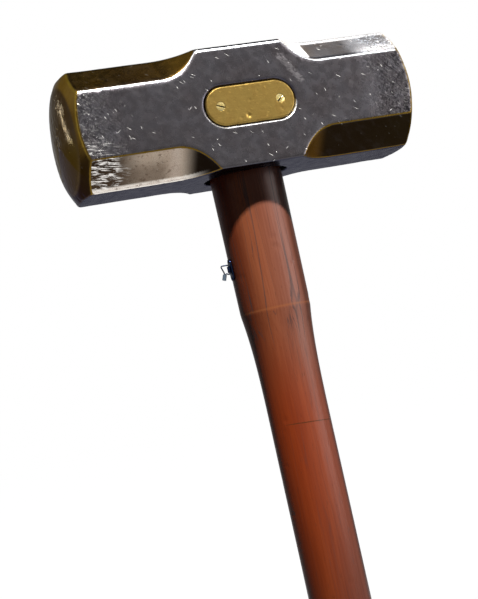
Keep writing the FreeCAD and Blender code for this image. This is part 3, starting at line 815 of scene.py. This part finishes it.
class HeadMasks:
    """Where on the head each point lies, mostly as masks from 0 to 1."""

    def __init__(self, points):
        self.x, self.y, self.z = (points - HEAD_MIDDLE).T
        self.along = np.abs(self.x)
        self.forms = head_forms(points)
        self.cheek, self.top, self.corner, self.bevel, self.crown = self.forms
        self.above_top = self.corner - self.top
        sides = np.maximum(self.cheek, self.top)
        ends = np.maximum(self.bevel, self.crown)
        self.on_flat = self.step(self.corner - np.maximum(sides, ends))
        self.on_end = self.step(ends - np.maximum(sides, self.corner))
        self.on_crown = self.step(self.crown - self.bevel)
        self.under = self.step(self.top - self.cheek) * (self.z < 0) * (1 - self.on_flat)
        self.left_low_flat = self.on_flat * (self.x < 0) * (self.z < 0)
        self.right_high_flat = self.on_flat * (self.x > 0) * (self.z > 0)
        self.low_lip = (self.x < 0) * (self.z < 0) * smooth_step(
            self.along, CORNER_START - 12 * MM, CORNER_START)
        self.pocket_lip = 1 - smooth_step(np.abs(past_pocket(points)), 0.5 * MM, 1.3 * MM)
        # The pocket's lower lip, which takes a painted highlight; the rest of the rim takes painted shade.
        self.lit_lip = self.pocket_lip * smooth_step(-self.z, -3 * MM, 4 * MM)

    @staticmethod
    def step(value):
        return smooth_step(value, -MASK_BLUR, MASK_BLUR)

    def near_face(self, start, end):
        """Rises between two distances from the face."""
        return smooth_step(self.along, HALF_LENGTH - start, HALF_LENGTH - end)


def paint(tone, colour, where):
    """Blends a colour, one for all points or one for each, into the tones."""
    tone += (colour - tone) * where[:, None]


def paint_flats(tone, head):
    """Each corner flat runs from one colour to another, partly tarnish and partly painted reflection; two
    carry painted highlights of their own.
    """
    to_face = head.near_face(26 * MM, 12 * MM)[:, None]
    for (side, level), (runout, middle, face, fade) in FLAT_PATINA_AND_REFLECTION_TONES.items():
        here = head.on_flat * ((head.x < 0) == (side == "left")) * ((head.z > 0) == (level == "up"))
        start, end = CORNER_START + np.array(fade) * MM
        to_middle = smooth_step(head.along, start, end)[:, None]
        flat = np.array(runout) * (1 - to_middle) + np.array(middle) * to_middle
        paint(tone, flat + (np.array(face) - flat) * to_face, here)

    # A darker band in the lower-left flat's painted reflection, near its lower edge, and a painted
    # highlight across its crest by the run-out.
    darker_reflection = smooth_step(head.along, CORNER_START, CORNER_START + 6 * MM)
    darker_reflection *= smooth_step(head.above_top, 9 * MM, 4 * MM)
    crest = np.exp(-((head.along - CORNER_START) / (2.4 * MM)) ** 2)
    paint(tone, DARKER_REFLECTION_TONE, 0.58 * head.left_low_flat * darker_reflection)
    paint(tone, CREST_HIGHLIGHT_TONE, 0.7 * head.left_low_flat * crest)
    # A cream painted highlight along the lower-left flat's lower lip.
    lip = 1 - smooth_step(head.above_top, 1.0 * MM, 1.4 * MM)
    paint(tone, CREAM_HIGHLIGHT, head.on_flat * head.low_lip * lip)

    # Painted highlight on the upper-right flat: a white strip beside its top edge and glare toward the
    # face.
    strip = 1 - smooth_step(head.above_top, 1.1 * MM, 2.2 * MM)
    glare = smooth_step(head.corner - head.cheek, 4 * MM, 0.6 * MM) * head.near_face(24 * MM, 12 * MM)
    glare = np.maximum(glare, head.near_face(7 * MM, 4.5 * MM))
    paint(tone, PAINTED_HIGHLIGHT, head.right_high_flat * np.maximum(0.8 * strip, 0.75 * glare))


def paint_ends(tone, head):
    """Bevels and crowns, golden above and brown below: on the bevels the gold above is painted light with a
    painted highlight along the rim, and the brown below painted shade; the crowns turn browner toward the
    bottom.
    """
    paint(tone, BEVEL_TONE, head.on_end)
    paint(tone, BEVEL_LIT_TONE, head.on_end * smooth_step(head.z, 3 * MM, 13 * MM))
    paint(tone, BEVEL_SHADED_TONE, head.on_end * smooth_step(-head.z, 3 * MM, 13 * MM))
    rim = 1 - smooth_step(head.bevel - np.maximum(head.cheek, head.corner), 0.2 * MM, 1.2 * MM)
    paint(tone, BEVEL_RIM_HIGHLIGHT_TONE, head.on_end * rim * smooth_step(head.z, -15 * MM, -6 * MM))
    paint(tone, CROWN_TONE, head.on_end * head.on_crown)
    paint(tone, CROWN_LOW_TONE, head.on_end * head.on_crown * smooth_step(-head.z, 0, 8 * MM))


def plateau_edge(head):
    """Along the top's long edges: painted shade on the side that turns away, and the painted highlight line
    before it.
    """
    drop = head.cheek - head.top
    beside = (head.z > 0) * (head.corner < np.maximum(head.cheek, head.top) - 0.5 * MM) * (1 - head.on_end)
    painted_dark_edge = beside * (1 - smooth_step(drop, 0.3 * MM, 0.6 * MM)) * smooth_step(drop, -5 * MM, -2.5 * MM)
    line = beside * smooth_step(drop, 0.35 * MM, 0.6 * MM) * (1 - smooth_step(drop, 1.5 * MM, 1.9 * MM))
    return painted_dark_edge, line


def edge_looks(head, line):
    """Worn edges, gold, with a painted highlight in white on the cheek's side of the upper ones, along the
    plateau's line and on the pocket's lower lip, and in cream on the lower-left lip: colour, and wear with
    the painted highlight lines.
    """
    outermost = np.max(head.forms, axis=0)
    close = 1 - smooth_step(off_edge(head.forms), 0.1 * MM, WORN_REACH)
    by_cheek, by_top, by_flat, by_bevel, by_crown = (form > outermost - WORN_REACH for form in head.forms)
    off_bevel = 1 - (by_bevel + by_crown)
    cheek_side = smooth_step(head.cheek - np.maximum(head.top, head.corner), -0.3 * MM, 0)
    # Painted highlight in white on the cheek's side of the upper edges, on the plateau's line and the
    # pocket's lower lip; cream on the lower-left lip.
    upper = np.maximum((head.z > 0) * by_cheek * off_bevel * cheek_side, line)
    edge = GOLD + (PAINTED_HIGHLIGHT - GOLD) * np.maximum(upper, head.lit_lip)[:, None]
    paint(edge, CREAM_HIGHLIGHT, head.low_lip * by_top * off_bevel)
    marked = (by_flat & (by_cheek | (head.z < 0))) | (by_bevel & by_cheek)
    return edge, np.maximum(close * marked, np.maximum(line, head.lit_lip))


def contact_masks(head):
    """Where the steel shows the streaks, partly painted highlight, and the cuts, scribbles and grit of use
    near its faces.
    """
    hammered = head.near_face(26 * MM, 10 * MM)
    left_low = (head.x < 0) * smooth_step(-head.z, 1 * MM, 8 * MM)
    body = (1 - head.on_flat) * (1 - head.on_end)
    scribbled = head.near_face(21 * MM, 15 * MM) * (1 - smooth_step(head.above_top, 4 * MM, 7 * MM))
    scribbled *= smooth_step(head.above_top, 0.8 * MM, 1.6 * MM)
    gritty = head.near_face(16 * MM, 7 * MM) * smooth_step(head.z, -14 * MM, -4 * MM)
    hatched = np.maximum(1 - head.on_flat, head.right_high_flat) * (1 - head.on_end)
    streaked = left_low * (0.72 + 0.28 * head.on_flat) * (1 - head.on_end) * (1 - head.under)
    pitted = smooth_step(head.along, CORNER_START - 4 * MM, CORNER_START + 4 * MM)
    return {
        "hammered": hammered * streaked,
        "hatched": hammered * hatched * (1 - 0.5 * (head.x < 0)),
        "scribbled": head.right_high_flat * scribbled,
        "gritty": gritty * (head.x < 0) * body,
        "pitted": head.on_flat * left_low * pitted,
    }


def scuff_mask(head):
    """A worn patch along a short slanting line on the front cheek."""
    from_start = np.stack([head.x, head.z], axis=1) - SCUFF_START
    part = np.clip(from_start @ SCUFF_RUN / (SCUFF_RUN @ SCUFF_RUN), 0, 1)
    apart = np.linalg.norm(from_start - part[:, None] * SCUFF_RUN, axis=1)
    fade = 1 - smooth_step(apart, 0.8 * MM, 2.8 * MM)
    return 0.68 * fade * (head.y < 0) * (1 - head.on_flat)


def store_head_looks(mesh, points, outside):
    """Keeps the colours and masks that the steel's finish reads."""
    head = HeadMasks(points)
    painted_dark_edge, line = plateau_edge(head)
    tone = np.tile(CHEEK_TONE, (len(points), 1))
    # A darker, bluer tone on the underside, a painted reflection.
    paint(tone, UNDER_REFLECTION_TONE, head.under)
    # Painted shade round the pocket's rim, all but its lower lip.
    paint(tone, RIM_SHADE, head.pocket_lip - head.lit_lip)
    paint_flats(tone, head)
    paint_ends(tone, head)
    paint(tone, PAINTED_DARK_EDGE_TONE, painted_dark_edge)
    edge, worn = edge_looks(head, line)
    inside = np.ones(len(points), dtype=bool)
    inside[outside] = False
    in_pocket = (past_pocket(points) < POCKET_FIT) * (np.abs(np.max(head.forms, axis=0)) < 3 * MM)
    tone[inside & ~in_pocket] = EYE_TONE
    worn[inside] = 0
    # Grazing tint: bluer on the underside, with its painted reflection.
    sheen = (SHEEN + (UNDER_SHEEN - SHEEN) * head.under[:, None]
             + (END_SHEEN - SHEEN) * head.on_end[:, None])
    bare = 0.85 - 0.75 * head.on_flat + 0.6 * head.right_high_flat - 0.8 * head.on_end
    looks = {
        # the tones, with their painted light, reflections and shade
        "patina_and_painted_light": tone,
        # gold worn edges, and the painted highlights' white and cream
        "edge_wear_and_highlight_tint": edge,
        # edge wear, with the painted highlight lines added
        "wear": worn,
        # the grazing tint, turned down under the plateau edge's painted shade
        "sheen": sheen * (1 - 0.85 * painted_dark_edge)[:, None],
        "polish": head.on_end,
        "bare": bare * (1 - head.under),
        "scuff": scuff_mask(head),
        **contact_masks(head),
    }
    for name, values in looks.items():
        store(mesh, name, values)


def make_head():
    bm = clean_copy("head")
    cut_to_cells(bm, HEAD_CELL * (1))
    head = make_piece("forged_head", bm, forged_steel(), crisp=50)
    points = points_of(head.data)
    outside = head_outside(points)
    skin, normals = settle(points[outside])
    points[outside] = skin - normals * head_wear(skin)[:, None]
    move_points(head.data, points)
    store_head_looks(head.data, points, outside)
    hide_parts("head")


# ---- handle ----------------------------------------------
HANDLE_CELL = 0.6 * MM          # between the rings of the turned surface
HANDLE_COLUMNS = 200
BUTT_ROWS = 30
HANDLE_DENTS = 46
GRAIN_STRETCH = (1, 1, 0.045)   # makes the grain long down the handle


def bezier_run(poles, count):
    """Points along a cubic through its end poles, without the first."""
    poles = np.array(poles, dtype=float)
    made = []
    for step in range(1, count + 1):
        t = step / count
        weights = ((1 - t) ** 3, 3 * t * (1 - t) ** 2, 3 * t * t * (1 - t), t ** 3)
        made.append(tuple(np.dot(weights, poles)))
    return made


def straight_run(start, end, spacing):
    count = max(1, round(math.dist(start, end) / spacing))
    start, end = np.array(start), np.array(end)
    return [tuple(start + (end - start) * step / count) for step in range(1, count + 1)]


def handle_profile(spacing):
    """(half width, height) from inside the eye down to the tip of the butt."""
    eye = (SHOULDER, INTO_EYE)
    top = (SHOULDER, 0.0)
    break_edge = (BREAK, -BREAK_DROP)
    grip_top = (GRIP, -GRIP_TOP)
    swell_top = (GRIP, -SWELL_TOP)
    swell = (SWELL, -SWELL_DROP)
    tip = (0.0, FLOOR)
    below_break = (BREAK - BREAK_SLOPE * BREAK_LEAD, -BREAK_DROP - BREAK_LEAD)
    above_grip = (GRIP, -GRIP_TOP + GRIP_LEAD)
    half_swell = (SWELL_DROP - SWELL_TOP) / 2
    below_grip = (GRIP, -SWELL_TOP - half_swell)
    above_swell = (SWELL, -SWELL_DROP + half_swell)
    butt_side = (SWELL, -SWELL_DROP - BUTT_SIDE_LEAD)
    butt_end = (BUTT_END_LEAD, FLOOR)
    taper_rows = round((GRIP_TOP - BREAK_DROP) / spacing)
    swell_rows = round((SWELL_DROP - SWELL_TOP) / spacing)
    rows = [eye] + straight_run(eye, top, spacing) + straight_run(top, break_edge, spacing)
    rows += bezier_run([break_edge, below_break, above_grip, grip_top], taper_rows)
    rows += straight_run(grip_top, swell_top, spacing)
    rows += bezier_run([swell_top, below_grip, above_swell, swell], swell_rows)
    rows += bezier_run([swell, butt_side, butt_end, tip], BUTT_ROWS)
    return np.array(rows)


def turned_points(rows, columns):
    """Rings of points round the oval handle, one for each row, and each point's outward direction."""
    turns = np.linspace(0, 2 * math.pi, columns, endpoint=False)
    ring = np.stack([np.cos(turns), OVAL * np.sin(turns)], axis=1)
    flat = rows[:, None, :1] * ring[None]
    heights = np.repeat(rows[:, None, 1:], columns, axis=1)
    points = np.concatenate([flat, heights], axis=2).reshape(-1, 3)
    outward = np.stack([np.cos(turns), np.sin(turns), np.zeros(columns)], axis=1)
    return points, np.tile(outward, (len(rows), 1))


def beside_break(points, reach):
    return np.exp(-((points[:, 2] + BREAK_DROP) / reach) ** 2)


def handle_wear(points):
    """Long grain, soft hand wear, a few small dents and the crisp edge rubbed down."""
    depth = ripple(points * GRAIN_STRETCH, 0.02 * MM, 0.8 * MM, 11) + ripple(points, 0.03 * MM, 16 * MM, 12)
    picks = RANDOM.choice(np.flatnonzero(points[:, 2] < -2 * MM), HANDLE_DENTS)
    radii = RANDOM.uniform(0.8, 2.2, HANDLE_DENTS) * MM
    depths = RANDOM.uniform(0.03, 0.12, HANDLE_DENTS) * MM
    depth += press_marks(points, points[picks], radii, depths)
    depth += 0.06 * MM * beside_break(points, 0.5 * MM)
    return depth * smooth_step(points[:, 2], FLOOR + 1 * MM, FLOOR + 6 * MM)


def turned_skin(points, columns):
    """Closed surface over the rings: its flat end lies in the eye, its tip at the butt."""
    bm = bmesh.new()
    verts = [bm.verts.new(point) for point in points]
    tip = bm.verts.new((0, 0, FLOOR))
    last = len(verts) - columns
    for start in range(0, last, columns):
        for column in range(columns):
            after = (column + 1) % columns
            bm.faces.new([verts[start + column], verts[start + columns + column],
                          verts[start + columns + after], verts[start + after]])
    for column in range(columns):
        bm.faces.new([verts[last + column], tip, verts[last + (column + 1) % columns]])
    bm.faces.new(verts[:columns])
    return bm


def add_tenon(bm):
    """Adds the part of the CAD handle above the turned surface, closed at its foot."""
    tenon = clean_copy("handle")
    cut = bmesh.ops.bisect_plane(tenon, geom=tenon.verts[:] + tenon.edges[:] + tenon.faces[:], dist=WELD,
                                 plane_co=(0, 0, INTO_EYE), plane_no=(0, 0, 1), clear_inner=True)
    rim = [edge for edge in cut["geom_cut"] if isinstance(edge, bmesh.types.BMEdge)]
    bmesh.ops.holes_fill(tenon, edges=rim)
    part = mesh_from(tenon, "tenon")
    bm.from_mesh(part)
    bpy.data.meshes.remove(part)


def make_handle():
    coarse = 1
    columns = round(HANDLE_COLUMNS / coarse)
    rows = handle_profile(HANDLE_CELL * coarse)[:-1]
    points, outward = turned_points(rows, columns)
    bm = turned_skin(points - outward * handle_wear(points)[:, None], columns)
    add_tenon(bm)
    handle = make_piece("handle_wood", bm, lacquered_wood(), crisp=45)
    store(handle.data, "rubbed", beside_break(points_of(handle.data), 0.4 * MM))
    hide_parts("handle")


# ---- plate, screws and the small steel parts -------------
PLATE_CELL = 0.35 * MM
PLATE_DENTS = 26
PLATE_SPREAD = (0.46, 0, 0.46)  # how far from its middle they reach, as shares of the plate
GOUGE = (-1.8 * MM, -4.7 * MM)  # the deepest dent, from the middle of the plate


def plate_wear(face):
    """Soft hollows, small dents and one gouge in the plate's front."""
    middle = (PLATE_LOW + PLATE_HIGH) / 2
    marks = middle + RANDOM.uniform(-1, 1, (PLATE_DENTS, 3)) * (PLATE_HIGH - PLATE_LOW) * PLATE_SPREAD
    marks[:, 1] = PLATE_LOW[1]
    radii = RANDOM.uniform(0.35, 0.8, PLATE_DENTS) * MM
    depths = RANDOM.uniform(0.02, 0.09, PLATE_DENTS) * MM
    marks[0] = (GOUGE[0], PLATE_LOW[1], middle[2] + GOUGE[1])
    radii[0], depths[0] = 1.1 * MM, 0.3 * MM
    hollows = ripple(face, 0.02 * MM, 7 * MM, 21) + ripple(face, 0.008 * MM, 1.2 * MM, 22)
    return hollows + press_marks(face, marks, radii, depths)


def make_plate():
    bm = clean_copy("brass_plate")
    cut_to_cells(bm, PLATE_CELL * (1))
    plate = make_piece("name_plate", bm, plate_brass(), crisp=30)
    points = points_of(plate.data)
    front = np.flatnonzero(points[:, 1] < PLATE_LOW[1] + 0.5 * MM)
    points[front, 1] += plate_wear(points[front])
    move_points(plate.data, points)
    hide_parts("brass_plate")


SMALL_BEVEL = 0.06 * MM
SMALL_CRISP = 35                # edges sharper than this, in degrees, are bevelled


def make_small_part(node, name, material):
    """Copy of a CAD part with its sharp edges rounded."""
    bm = clean_copy(node)
    limit = math.radians(SMALL_CRISP)
    sharp = [edge for edge in bm.edges if edge.is_manifold and edge.calc_face_angle() > limit]
    bmesh.ops.bevel(bm, geom=sharp, offset=SMALL_BEVEL, offset_type="OFFSET", segments=2, profile=0.5,
                    affect="EDGES", clamp_overlap=True)
    part = make_piece(name, bm, material, crisp=SMALL_CRISP)
    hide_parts(node)
    return part


def dress(node, material):
    """Gives a CAD part that stays as it is a new finish."""
    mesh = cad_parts[node].data
    mesh.materials.clear()
    mesh.materials.append(material)


def make_small_parts():
    brass = screw_brass()
    for side in ("left", "right"):
        screw = make_small_part("plate_screw_" + side, "brass_screw_" + side, brass)
        depth = points_of(screw.data)[:, 1]
        # Painted shade on all that is set back from the screw head's front, such as the inside of the slot.
        store(screw.data, "slot_shade", smooth_step(depth - depth.min(), 0.25 * MM, 0.4 * MM))
    keeper = keeper_steel()
    make_small_part("keeper_plate", "bail_keeper", keeper)
    for place in ("upper", "lower"):
        dress("keeper_pin_" + place, keeper)
    wedge = wedge_steel()
    for side in ("left", "right"):
        dress("steel_wedge_" + side, wedge)
    dress("wood_wedge", wedge_wood())
    dress("wire_loop", wire_steel())
    dress("crimp_sleeve", sleeve_alloy())


# ---- the scene -------------------------------------------
bpy.context.scene.view_settings.view_transform = "Standard"
make_camera()
make_lamps()
make_world()
make_floor()
make_head()
make_handle()
make_plate()
make_small_parts()
